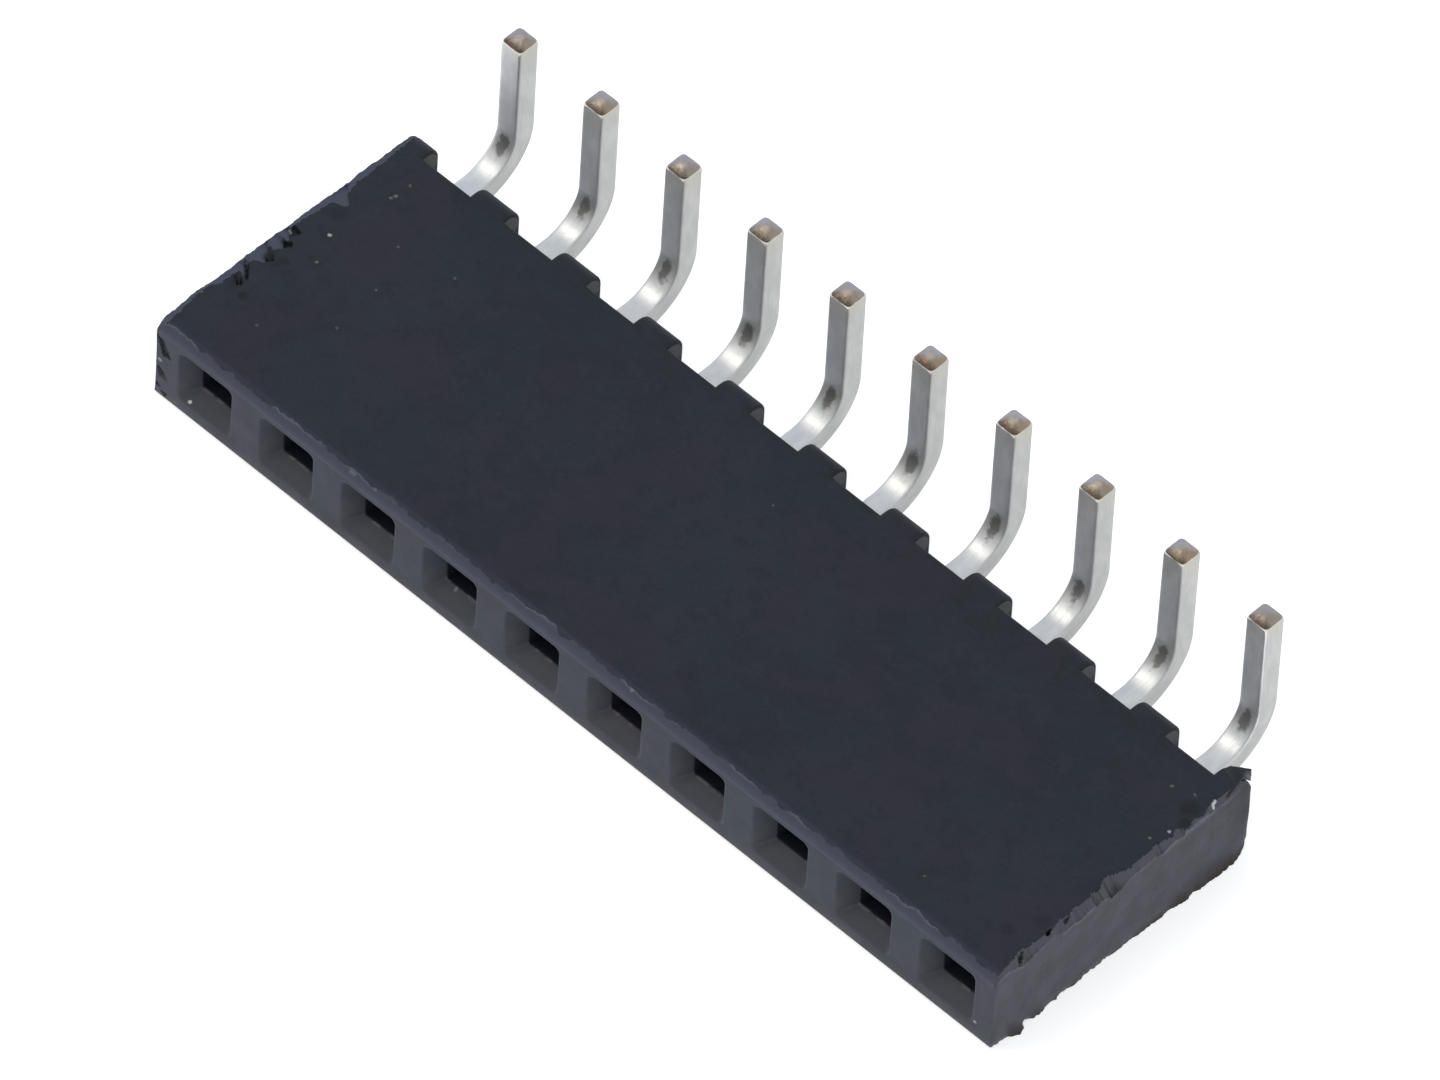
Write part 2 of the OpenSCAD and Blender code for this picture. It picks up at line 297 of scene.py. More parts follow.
def fine_sides():
    """The side outline, evenly divided, in four sides between its corners: below, back, above, front."""
    back, front = side_outline(outline_steps)
    loop = front[:-1] + back[:-1]
    corner_at = [loop.index(min(loop, key=lambda p: hypot(p[0] - y, p[1] - z)))
                 for y, z in ((0, 0), (full_d, 0), (full_d, body_t), (0, body_t))]
    sides = []
    for start, end, count in zip(corner_at, corner_at[1:] + corner_at[:1], (across_y, across_z) * 2):
        run = [loop[k % len(loop)] for k in range(start, end + 1 + (len(loop) if end < start else 0))]
        lengths = [0]
        for (y0, z0), (y1, z1) in zip(run, run[1:]):
            lengths.append(lengths[-1] + hypot(y1 - y0, z1 - z0))
        ys, zs = ([(length, p[k]) for length, p in zip(lengths, run)] for k in (0, 1))
        places = [lengths[-1] * k / count for k in range(count + 1)]
        sides.append([(between(ys, p), between(zs, p)) for p in places])
    return sides


def cut_x(end, y):
    return end["cut"] + end["skew"] * y / full_d


def chipped(strips, a, b):
    """How deep the deepest facet of these strips is at a place."""
    deepest = 0
    for strip in strips:
        for (a0, b0, deep), (a1, b1, deep_1), (a2, b2, deep_2) in zip(strip, strip[1:], strip[2:]):
            twice = (a1 - a0) * (b2 - b0) - (a2 - a0) * (b1 - b0)
            share_1 = ((a - a0) * (b2 - b0) - (a2 - a0) * (b - b0)) / twice
            share_2 = ((a1 - a0) * (b - b0) - (a - a0) * (b1 - b0)) / twice
            if min(share_1, share_2, 1 - share_1 - share_2) >= 0:
                deepest = max(deepest, deep + share_1 * (deep_1 - deep) + share_2 * (deep_2 - deep))
    return deepest


def torn_place(end, inward, y, z):
    """A point of the skin this far in from the cut: where it was torn to, and whether the inside shows."""
    seed = end["seed"]
    side = 1 if end["cut"] > 0 else -1
    width = between(end["tears"], y) * (1 + 0.5 * jag(y, 3.5, seed))
    upper = max(0, min(1, (z - upper_from) / upper_over))
    down = (end["step"] + end["slope"] * (width - inward)) * upper if inward < width else 0
    shift = 0.04 * jag(y + inward, 5, seed + 40)
    down = max(down, upper * chipped(end["chips"], inward, y + shift))
    cleft = upper * chipped(end["clefts"], inward, y + shift)
    nick = max(0, 1 - y / nick_reach) * chipped(end["front"], inward, z)
    edge = max(0, 1 - inward / burr_reach)
    burr = sum(high * max(0, 1 - abs(y - at) / half) for at, half, high in end["burrs"])
    ragged = burr + 0.03 * jag(y, 2.6, seed + 5 + z)
    teeth = 0.02 * jag(y, 4, seed + 9) + 0.022 * jag(y, 15, seed + 13)
    lower = max(0, 1 - z / lower_reach)
    out = edge * (ragged + lower * (between(end["lower"], y) + teeth))
    rough = uneven * noise.noise(Vector((y * 9, z * 9, inward * 9 + seed)))
    rough *= (0.3 + edge) * (z > uneven_above)
    x = cut_x(end, y) + side * (out - inward)
    return (x, y + nick, max(0, z - max(down, cleft) + rough)), max(down * upper, nick) > bared_from


def cut_face(mesh, end, rim):
    """The ragged end face: a net that starts from the rim and settles to the cut's own waves and scores."""
    side = 1 if end["cut"] > 0 else -1
    net = {}
    for i in range(across_y + 1):
        net[i, 0] = rim[i]
        net[i, across_z] = rim[2 * across_y + across_z - i]
    for j in range(1, across_z):
        net[across_y, j] = rim[across_y + j]
        net[0, j] = rim[2 * across_y + 2 * across_z - j]
    place = {key: point.co.copy() for key, point in net.items()}
    for i in range(1, across_y):
        for j in range(1, across_z):
            u, v = i / across_y, j / across_z
            spot = ((1 - v) * place[i, 0] + v * place[i, across_z]
                    + (1 - u) * place[0, j] + u * place[across_y, j]
                    - (1 - v) * ((1 - u) * place[0, 0] + u * place[across_y, 0])
                    - v * ((1 - u) * place[0, across_z] + u * place[across_y, across_z]))
            inset, beside = min((i, (0, j)), (across_y - i, (across_y, j)), (j, (i, 0)),
                                (across_z - j, (i, across_z)))
            ragged = (place[beside].x - cut_x(end, place[beside].y)) * max(0, 1 - inset / ragged_rows) ** 2
            wave = 0.014 * noise.noise(Vector((spot.y * 1.3, spot.z * 1.6, end["seed"] + 20)))
            scored = 0.003 * noise.noise(Vector((spot.y * 7, spot.z * 5, end["seed"] + 30)))
            net[i, j] = mesh.verts.new((cut_x(end, spot.y) + ragged + side * (wave + scored), spot.y, spot.z))
    for i in range(across_y):
        for j in range(across_z):
            mesh.faces.new([net[i, j], net[i + 1, j], net[i + 1, j + 1], net[i, j + 1]]).material_index = 1


def cut_end(mesh, end, sides):
    """The bar's last stretch, down to the face that the cut left. Gives the ring that joins the bar."""
    loop = [point for side in sides for point in side[:-1]]
    start_x = end["border"] + (net_gap if end["cut"] > 0 else -net_gap)
    ring_count = round(abs(end["cut"] - start_x) / net_gap)
    rings = [[mesh.verts.new((start_x, y, z)) for y, z in loop]]
    for k in range(1, ring_count + 1):
        to_go = 1 - k / ring_count
        torn_ring = [torn_place(end, abs(cut_x(end, y) - start_x) * to_go, y, z) for y, z in loop]
        rings.append([mesh.verts.new(place) for place, _ in torn_ring])
        for n in range(len(loop)):
            face = mesh.faces.new([rings[-2][n - 1], rings[-2][n], rings[-1][n], rings[-1][n - 1]])
            face.material_index = int(torn_ring[n][1] and torn_ring[n - 1][1])
    cut_face(mesh, end, rings[-1])
    return rings[0]


def open_ring(mesh, x, start):
    """The bar's open edge at this x, as one ring of points that starts nearest to a given one."""
    beside = {}
    for edge in mesh.edges:
        if edge.is_boundary and abs(edge.verts[0].co.x - x) < same_place:
            for point in edge.verts:
                beside.setdefault(point, []).append(edge)
    ring = [min(beside, key=lambda point: (point.co - start).length)]
    edge = max(beside[ring[0]], key=lambda e: e.other_vert(ring[0]).co.y)
    while edge.other_vert(ring[-1]) is not ring[0]:
        ring.append(edge.other_vert(ring[-1]))
        edge = next(e for e in beside[ring[-1]] if e is not edge)
    return ring


def zipped(mesh, coarse, fine):
    """Triangles between two closed rings that follow the same outline from the same start."""
    def shares(ring):
        lengths = [0]
        for k in range(len(ring)):
            lengths.append(lengths[-1] + (ring[(k + 1) % len(ring)].co - ring[k].co).length)
        return [length / lengths[-1] for length in lengths]
    a, b = shares(coarse), shares(fine)
    i = j = 0
    while i < len(coarse) or j < len(fine):
        if j == len(fine) or (i < len(coarse) and a[i + 1] <= b[j + 1]):
            mesh.faces.new([coarse[i % len(coarse)], coarse[(i + 1) % len(coarse)], fine[j % len(fine)]])
            i += 1
        else:
            mesh.faces.new([coarse[i % len(coarse)], fine[(j + 1) % len(fine)], fine[j % len(fine)]])
            j += 1


end_sides = fine_sides()
for end in ends.values():
    coarse_ring = open_ring(bar, end["border"], Vector((end["border"], *end_sides[0][0])))
    zipped(bar, coarse_ring, cut_end(bar, end, end_sides))

# Torn flake: the last rib's upper corner, which the cut tore loose and bent up and back.
# It is still one piece with the bar, where its root goes on inside, and its broken end face is pale.
# Its two edges run from its root to its tip: the share of the way, how far from the cut, the depth, and the
# height over the upper face.
flake_far = [(0, -0.63, 7.62, -0.01), (0.25, -0.58, 7.82, 0.04), (0.45, -0.5, 7.94, 0.1),
             (0.75, -0.31, 8.05, 0.14), (1, -0.08, 8.16, 0.18)]
flake_near = [(0, -0.01, 7.42, -0.01), (0.7, -0.11, 7.93, 0.06), (0.85, -0.1, 7.99, 0.1),
              (1, 0.02, 8.06, 0.13)]
flake_root_t, flake_tip_t = 0.25, 0.2
flake_steps, flake_across = 26, 16
root_steps, root_way = 3, Vector((0.2, 0.8, 0.5))
pale_past = 7.8


def flake_ring(share):
    """The flake's section at this share of the way from its root to its tip."""
    near, far = (Vector([between([(row[0], row[k]) for row in edge], share) for k in (1, 2, 3)])
                 for edge in (flake_near, flake_far))
    thick = flake_root_t + (flake_tip_t - flake_root_t) * max(0, share)
    sunk = root_way * min(0, share)
    upper, lower = [], []
    for k in range(flake_across + 1):
        across = k / flake_across
        place = near.lerp(far, across) + sunk + Vector((cut_right, 0, body_t))
        ragged = 0.02 * noise.noise(Vector((place.x * 8, place.y * 8, 4.2)))
        edge = min(1, 6 * across + 0.3, 6 * (1 - across))
        upper.append((place.x, place.y, place.z + 0.5 * ragged))
        under = place.z - thick * (0.4 + 0.6 * edge) + 2 * ragged
        lower.append((place.x - 0.03 * (1 - edge), place.y, under))
    return upper + lower[::-1]


flake = bmesh.new()
loft(flake, [flake_ring(k / flake_steps) for k in range(-root_steps, flake_steps + 1)], closed=True)
bmesh.ops.recalc_face_normals(flake, faces=flake.faces)
for face in flake.faces:
    broken = face.normal.x > 0.4 or face.normal.z < -0.5
    face.material_index = int(broken and face.calc_center_median().y > pale_past)


def united(shells):
    """Closed shells as one, without what lies inside another."""
    objects = []
    for shell in shells:
        bmesh.ops.recalc_face_normals(shell, faces=shell.faces)
        data = bpy.data.meshes.new("shell")
        shell.to_mesh(data)
        shell.free()
        objects.append(bpy.data.objects.new("shell", data))
        bpy.context.scene.collection.objects.link(objects[-1])
    for other in objects[1:]:
        join = objects[0].modifiers.new("join", "BOOLEAN")
        join.operation = "UNION"
        join.solver = "EXACT"
        join.object = other
    whole = bmesh.new()
    whole.from_object(objects[0], bpy.context.evaluated_depsgraph_get())
    for made in objects:
        bpy.data.meshes.remove(made.data)
    return whole


def as_object(mesh, name, materials, crisp=32):
    """The finished mesh as an object in metres, smooth but for its crisp edges."""
    bmesh.ops.recalc_face_normals(mesh, faces=mesh.faces)
    to_metres = Matrix.Scale(MM, 4) @ Matrix.Translation((0, front_y, 0))
    bmesh.ops.transform(mesh, matrix=to_metres, verts=mesh.verts)
    data = bpy.data.meshes.new(name)
    mesh.to_mesh(data)
    mesh.free()
    data.shade_smooth()
    data.set_sharp_from_angle(angle=radians(crisp))
    for material in materials:
        data.materials.append(material)
    made = bpy.data.objects.new(name, data)
    bpy.context.scene.collection.objects.link(made)
    made.modifiers.new("flat faces stay flat", "WEIGHTED_NORMAL").keep_sharp = True
    return made


class Shade:
    """A socket of a material's nodes. Sums on it add Math nodes, and node() adds any other node."""

    def __init__(self, tree, socket=None):
        self.tree = tree
        self.socket = socket

    def node(self, kind, settings, values, exit=0):
        """A node with its settings made first, then the values or links of its sockets."""
        made = self.tree.nodes.new("ShaderNode" + kind)
        for name, value in settings.items():
            setattr(made, name, value)
        for key, value in values.items():
            entry = self.pick(made.inputs, key)
            if isinstance(value, Shade):
                self.tree.links.new(value.socket, entry)
            else:
                entry.default_value = (*value, 1) if entry.type == "RGBA" else value
        return Shade(self.tree, self.pick(made.outputs, exit))

    def pick(self, sockets, key):
        """A socket by its name, or by its place among those that the node's settings leave in use."""
        in_use = [socket for socket in sockets if socket.enabled]
        if isinstance(key, int):
            return in_use[key]
        return next(socket for socket in in_use if socket.name == key)

    def of(self, name):
        """Another output of this socket's node."""
        return Shade(self.tree, self.pick(self.socket.node.outputs, name))

    def maths(self, operation, *values):
        return self.node("Math", {"operation": operation}, dict(enumerate(values)))

    def __add__(self, other):
        return self.maths("ADD", self, other)

    def __sub__(self, other):
        return self.maths("SUBTRACT", self, other)

    def __rsub__(self, other):
        return self.maths("SUBTRACT", other, self)

    def __mul__(self, other):
        return self.maths("MULTIPLY", self, other)

    __radd__ = __add__
    __rmul__ = __mul__


def scaled(place, factors):
    """The place with each of its three parts multiplied."""
    return place.node("VectorMath", {"operation": "MULTIPLY"}, {0: place, 1: factors})


def cloud(place, size, detail=2, roughness=0.5):
    """Soft noise, mostly from 0.3 to 0.7, with patches of about this many millimetres."""
    return place.node("TexNoise", {}, {"Vector": place, "Scale": 1 / size, "Detail": detail,
                                       "Roughness": roughness})


def rising(value, low, high):
    """0 below low and 1 above high, with a soft passage between. It falls where low is the larger."""
    return value.node("MapRange", {"interpolation_type": "SMOOTHSTEP"},
                      {"Value": value, "From Min": low, "From Max": high})


def blend(share, one, other):
    """The first colour where the share is 0, and the other where it is 1."""
    return share.node("Mix", {"data_type": "RGBA"}, {"Factor": share, "A": one, "B": other})


def spot(place, centre, radius):
    """1 at a place, fading to 0 at this radius."""
    away = place.node("VectorMath", {"operation": "DISTANCE"}, {0: place, 1: centre})
    return rising(away, radius, 0.35 * radius)


def new_finish(name):
    """A material, its shader, and the place on the part in millimetres with Y from the mating face."""
    material = bpy.data.materials.new(name)
    material.use_nodes = True
    start = Shade(material.node_tree)
    metres = start.node("TexCoord", {}, {}, "Object")
    place = metres.node("VectorMath", {"operation": "MULTIPLY_ADD"},
                        {0: metres, 1: (1 / MM, 1 / MM, 1 / MM), 2: (0, -front_y, 0)})
    return material, material.node_tree.nodes["Principled BSDF"], place


def feed(shader, sockets):
    """Links what changes over the surface, and sets the shader's other numbers."""
    for name, value in sockets.items():
        if isinstance(value, Shade):
            value.tree.links.new(value.socket, shader.inputs[name])
        else:
            shader.inputs[name].default_value = value


def bump(height, depth):
    """A normal from a height of 0 to 1 that stands for a depth in millimetres."""
    return height.node("Bump", {}, {"Strength": 1, "Distance": depth * MM, "Height": height})


def from_middle(x):
    """How far a place is from the middle of its own contact."""
    return x.maths("WRAP", x, contact_xs[0] + pitch / 2, contact_xs[0] - pitch / 2) - contact_xs[0]


# Specks of dust and bare glass that show on the part, and glints painted on the worn upper front edge,
# each with its place, size and how pale it is, and painted shadows in the chips and clefts of the torn
# ends, with darker patches beside them, each with its place, size and how dark it is
specks_and_glints = [
    ((-11.99, 4.52, 2.5), 0.07, 0.6), ((-11.64, 3.76, 2.5), 0.055, 0.16), ((-10.16, 4.13, 2.5), 0.05, 0.13),
    ((-11.80, 6.26, 2.5), 0.065, 0.13), ((-11.76, 6.38, 2.5), 0.065, 0.15), ((-11.75, 6.82, 2.5), 0.055, 0.1),
    ((-10.69, 5.37, 2.5), 0.05, 0.1), ((-11.29, 1.51, 2.5), 0.055, 0.08), ((-9.99, 2.73, 2.5), 0.055, 0.1),
    ((-9.19, 5.64, 2.5), 0.05, 0.1), ((11.84, 6.67, 2.5), 0.055, 0.13), ((12.36, 6.85, 2.5), 0.055, 0.12),
    ((12.68, 5.70, 2.5), 0.055, 0.5), ((12.51, 5.27, 2.5), 0.055, 0.14), ((12.783, 7.053, 2.49), 0.05, 0.8),
    ((12.8, 7.0, 2.48), 0.055, 0.8), ((12.815, 6.945, 2.47), 0.06, 0.8), ((12.86, 6.93, 2.455), 0.055, 0.75),
    ((12.9, 6.92, 2.44), 0.05, 0.7), ((12.93, 8.05, 2.55), 0.22, 0.15), ((-11.88, 0.075, 0.507), 0.065, 0.8),
    ((12.38, 0.0, 0.55), 0.06, 0.5), ((-12.72, 4.0, 2.4), 0.07, 0.5), ((-12.78, 0.0, 1.27), 0.09, 0.35),
    ((-6.93, 0.1, 2.4), 0.08, 0.09), ((-6.84, 0.1, 2.4), 0.06, 0.09), ((-6.2, 0.11, 2.405), 0.05, 0.1),
    ((-3.9, 0.38, 0.735), 0.07, 0.2), ((1.7, 0.12, 2.415), 0.07, 0.14),
]
blots = [
    ((-12.53, 2.15, 2.42), 0.24, 0.9), ((-12.46, 2.39, 2.45), 0.09, 0.8), ((-12.55, 2.55, 2.45), 0.08, 0.6),
    ((-12.50, 3.12, 2.42), 0.22, 0.8), ((-12.25, 3.13, 2.5), 0.2, 0.5), ((-12.12, 3.26, 2.5), 0.15, 0.6),
    ((-12.47, 3.65, 2.45), 0.11, 1), ((-12.38, 3.71, 2.45), 0.1, 1), ((-12.63, 4.07, 2.45), 0.15, 0.9),
    ((-12.11, 1.89, 2.5), 0.18, 0.9), ((-12.45, 1.9, 2.5), 0.25, 0.4), ((-12.3, 5.1, 2.5), 0.28, 0.4),
    ((12.78, 0.9, 2.4), 0.12, 0.5), ((12.77, 1.77, 2.42), 0.1, 0.5), ((12.77, 2.34, 2.42), 0.09, 0.5),
    ((12.45, 1.9, 2.5), 0.3, 0.4), ((12.54, 6.51, 2.5), 0.32, 0.8), ((12.76, 6.12, 2.5), 0.2, 0.7),
    ((12.1, 1.2, 2.5), 0.25, 0.4),
]


def bared(place, parts, patch, grain):
    """What a cut bares, and the notches' sides: scored and whitened at the top edge, with painted cool light
    at the left end, painted light near the ribs' tops and painted warm bounce light along the lower edge.
    """
    dark_grey, light_grey = (0.019, 0.018, 0.021), (0.023, 0.022, 0.025)
    left_white_cool_light, right_white = (0.060, 0.068, 0.098), (0.080, 0.082, 0.100)
    rib_top_light, warm_bounce_brown = (0.108, 0.110, 0.116), (0.050, 0.038, 0.026)
    x, height = parts.of("X"), parts.of("Z")
    scores = cloud(scaled(place, (1, 1, 0.6)), 0.2, 2)
    colour = blend(rising(scores, 0.3, 0.7), dark_grey, light_grey)
    # Whitened along the top edge; at the left end the whitening is bluer with painted cool light from the
    # back left
    whitened = rising(height + 0.5 * patch, 2.42, 2.65)
    colour = blend(whitened * 0.8, colour, blend(rising(x, -1, 1), left_white_cool_light, right_white))
    # Painted light on the ribs' sides near their tops
    beside = from_middle(x)
    on_rib = rising(beside.maths("ABSOLUTE", beside), notch_half + 0.08, notch_half + 0.04)
    colour = blend(on_rib * rising(height, 1.75, 2), colour, rib_top_light)
    # Painted warm bounce light from the table along the lower edge
    colour = blend(rising(height + 0.3 * patch, 0.5, 0.1) * 0.7, colour, warm_bounce_brown)
    return colour, scores * 0.1 + grain, 0


def moulded(place, parts, patch, grain):
    """The moulded skin: blotches, painted warm bounce light along the lower edge, and a worn, paler upper
    edge with painted sheen and glints, painted light in the funnels and painted shade in the chambers.
    """
    darker, lighter = (0.0065, 0.0085, 0.0130), (0.0115, 0.0135, 0.0200)
    warm_bounce_beige, blue_sheen_and_wear, pale_sheen_and_wear = (0.058, 0.053, 0.044), (0.010, 0.013, 0.040), (0.046, 0.052, 0.074)
    glint, funnel_painted_light, rim_grey = (0.105, 0.11, 0.14), (0.050, 0.051, 0.060), (0.115, 0.115, 0.115)
    chamber_shade_black = (0.002, 0.0035, 0.012)
    depth, height = parts.of("Y"), parts.of("Z")
    drift = cloud(place, 3.4, 3, 0.6)
    mottle = cloud(scaled(place, (1, -1, 1)), 0.45, 3, 0.65)
    hue = cloud(scaled(place, (-1, 1, 1)), 1.9, 2)
    fibre = cloud(scaled(place, (1, 0.3, 1)), 0.05, 2)
    colour = blend(rising(drift + 0.5 * patch, 0.55, 0.95), darker, lighter)
    for blotches, none_at, full_at, share, tint in (
            (mottle, 0.52, 0.66, 0.5, (0.0150, 0.0165, 0.0250)),
            (mottle, 0.48, 0.36, 0.5, (0.0040, 0.0055, 0.0100)),
            (hue, 0.5, 0.62, 0.5, (0.0060, 0.0140, 0.0190)),
            (hue, 0.46, 0.38, 0.6, (0.0140, 0.0105, 0.0190))):
        colour = blend(rising(blotches, none_at, full_at) * share, colour, tint)

    # Painted warm bounce light from the table along the lower front edge and its sill
    sill = rising(height + 0.3 * patch, 0.55, 0.2) * rising(depth, 0.6, 0.1)
    colour = blend(sill * 0.6, colour, warm_bounce_beige)
    # The worn upper front edge: paler with wear and with painted sheen, bluer towards the front, and painted
    # glints along its upper border
    border = depth + 0.3 * (cloud(place, 0.5, 4, 0.7) - 0.5)
    on_edge = rising(height, 2.12, 2.24)
    colour = blend(rising(depth, 0.42, 0.22) * on_edge * 0.5, colour, blue_sheen_and_wear)
    colour = blend(rising(border, 0.165, 0.12) * on_edge * 0.85, colour, pale_sheen_and_wear)
    lip = rising(border, 0.115, 0.14) * rising(border, 0.175, 0.15) * rising(hue, 0.5, 0.56)
    colour = blend(lip * on_edge * 0.6, colour, glint)

    # Painted light in the lower part of each funnel, as pale as the front face around it
    funnel = rising(depth, -0.003, 0.009) * rising(depth, 0.46, 0.42) * rising(height, 1.7, 0.6)
    colour = blend(funnel * 0.85, colour, funnel_painted_light)
    hole_rim = rising(depth, 0.36, 0.42) * rising(depth, 0.47, 0.44) * rising(height, 0.95, 0.8)
    colour = blend(hole_rim * rising(cloud(place, 0.35), 0.5, 0.6) * 0.6, colour, rim_grey)
    # Painted shade: the chambers past the holes are painted near-black, and are rougher
    off_middle = height - mid_z
    dull_shaded_chamber = rising(depth, 0.44, 0.5) * rising(depth, 7.55, 7.4)
    dull_shaded_chamber = dull_shaded_chamber * rising(off_middle.maths("ABSOLUTE", off_middle), 1, 0.9)
    colour = blend(dull_shaded_chamber * 0.9, colour, chamber_shade_black)
    return colour, 2.5 * patch + grain + 0.6 * fibre, dull_shaded_chamber


def black_plastic(name, surface, relief_depth):
    """Near-black plastic with short glass fibres. Its surface gives the colour, the relief, and a mask
    where shade is painted and the plastic is rougher.
    """
    material, shader, place = new_finish(name)
    patch = cloud(scaled(place, (1, 1.3, 1)), 0.8, 3, 0.6)
    grain = cloud(place, 0.1, 3, 0.7)
    colour, relief, dull_shaded_chamber = surface(place, place.node("SeparateXYZ", {}, {0: place}), patch, grain)
    fibre_grey, shadow_and_patch_black = (0.035, 0.037, 0.045), (0.001, 0.002, 0.005)
    glass_white, speck_white = (0.5, 0.5, 0.5), (0.62, 0.62, 0.62)
    glass_gap, ragged_by = 1.3, 0.07
    colour = blend(rising(grain, 0.35, 0.75) * 0.15, colour, fibre_grey)
    # Painted shadows in the chips and clefts of the torn ends, and darker patches beside them
    for centre, radius, dark in blots:
        colour = blend(spot(place, centre, radius) * dark, colour, shadow_and_patch_black)
    cell = place.node("TexVoronoi", {}, {"Vector": place, "Scale": 1 / glass_gap})
    flecks = rising(cell, 0.035, 0.012) * rising(cell.of("Color"), 0.5, 0.6)
    colour = blend(flecks * 0.12, colour, glass_white)
    ragged = place.node("VectorMath", {"operation": "MULTIPLY_ADD"},
                        {0: cloud(place, 0.06).of("Color"), 1: (ragged_by,) * 3, 2: place})
    ragged = ragged.node("VectorMath", {"operation": "SUBTRACT"}, {0: ragged, 1: (ragged_by / 2,) * 3})
    # Pale specks of dust and glass, and glints painted on the worn upper front edge
    for centre, radius, pale in specks_and_glints:
        colour = blend(spot(ragged, centre, radius) * pale, colour, speck_white)
    feed(shader, {
        "Base Color": colour,
        "Roughness": 0.38 + 0.2 * patch + 0.1 * grain + 0.3 * dull_shaded_chamber,
        "Specular IOR Level": 0.3,
        "Normal": bump(relief, relief_depth),
    })
    return material


skin_finish = black_plastic("moulded black plastic", moulded, 0.0035)
cut_finish = black_plastic("cut black plastic", bared, 0.005)
housing = as_object(united([bar, flake]), "moulded_housing", [skin_finish, cut_finish], crisp=25)
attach(housing, "root")
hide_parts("housing")

# Contacts: ten alike, each stamped and folded from one strip of phosphor bronze, then plated with tin.
# A square tail comes out through the notch and turns up in one bend. Inside, a flat with barbs holds it in
# its chamber, and a folded cage carries the two springs that grip a pin.
contact_low, contact_high = (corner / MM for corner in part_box(contact_nodes[0]))
tail_w, edge_r, bend_r = 0.6, 0.05, 1.0
sheet = 0.2
half_tail = tail_w / 2
tail_y = contact_high.y - front_y - half_tail
shoulder_z = contact_high.z - 0.12
floor_z = contact_low.z
flat_z = floor_z + sheet / 2
bend_y = tail_y - half_tail - bend_r
bend_z = mid_z + half_tail + bend_r
upright_end_z = shoulder_z - 0.06
upright_steps, bend_steps = 8, 28
# The coined point: height over the shoulder, width and corner
point_profile = [(-0.025, 0.597, 0.075), (0, 0.58, 0.11), (0.02, 0.53, 0.115), (0.05, 0.43, 0.1),
                 (0.08, 0.32, 0.075), (0.108, 0.22, 0.05), (0.12, 0.14, 0.035)]
# The flat and its two barbs, each barb with its places past its start, widths and easings
flat_w, barb_w, barb_pitch, flat_r = 1.2, 1.396, 0.6, 0.03
barb_profile = [(0.08, flat_w, 0.005), (0.36, barb_w, 0.01), (0.48, barb_w, 0.005), (0.5, flat_w, 0.005)]
flat_end, wire_start = 6.4, 7.15
cage_half, cage_top = 0.6, floor_z + 1.4
cage_start, cage_end = 3.8, 5.2
cage_rim, cage_fold_r = 0.02, 0.05
pinch_y, spring_tip_y, spring_root_y = 1.9, 1.15, cage_start + 0.12
pinch_x, flare = 0.28, 0.2
spring_h, spring_growth, spring_r, spring_steps = 0.7, 0.3, 0.035, 30
# The bend spreads the wire towards its inner side, and crowns that side
spread, crown = 0.035, 0.018
around = 9
tail_outline = rounded(tail_w, tail_w, edge_r, fill=around)


def across_wire(y, z, lean, outline):
    """The outline set across the wire at this place: lean is 0 on the leg and 90 degrees on the upright."""
    return [(px, y - pn * sin(lean), z + pn * cos(lean)) for px, pn in outline]


def tail_shell():
    """The flat with its barbs, the step up to the wire, the leg, the bend, the upright and its point."""
    flat = [(cage_end - 0.05, 1.16, 0.16, flat_r, flat_z, 0),
            (cage_end + 0.05, flat_w, sheet, flat_r, flat_z, 0.01)]
    for k in range(2):
        for past, width, easing in barb_profile:
            flat.append((cage_end + k * barb_pitch + past, width, sheet, flat_r, flat_z, easing))
    flat += [(flat_end, flat_w, sheet, flat_r, flat_z, 0.15),
             (wire_start, tail_w, tail_w, edge_r, mid_z, 0.15), (bend_y, tail_w, tail_w, edge_r, mid_z, 0)]
    rings = [across_wire(y, z, 0, rounded(width, height, corner, fill=around))
             for y, width, height, corner, z in eased(flat)]
    for k in range(1, bend_steps + 1):
        lean = radians(90 * k / bend_steps)
        squeezed = []
        for px, pn in tail_outline:
            inner = max(0, pn / half_tail) ** 4 * sin(2 * lean)
            squeezed.append((px * (1 + spread * sin(2 * lean) * pn / half_tail),
                             pn + crown * inner * (1 - (px / half_tail) ** 2)))
        rings.append(across_wire(bend_y + (bend_r + half_tail) * sin(lean),
                                 bend_z - (bend_r + half_tail) * cos(lean), lean, squeezed))
    for k in range(1, upright_steps + 1):
        z = bend_z + (upright_end_z - bend_z) * k / upright_steps
        rings.append(across_wire(tail_y, z, radians(90), tail_outline))
    for over, width, corner in point_profile:
        outline = rounded(width, width, corner, fill=around)
        rings.append(across_wire(tail_y, shoulder_z + over, radians(90), outline))
    shell = bmesh.new()
    loft(shell, rings, closed=True)
    return shell


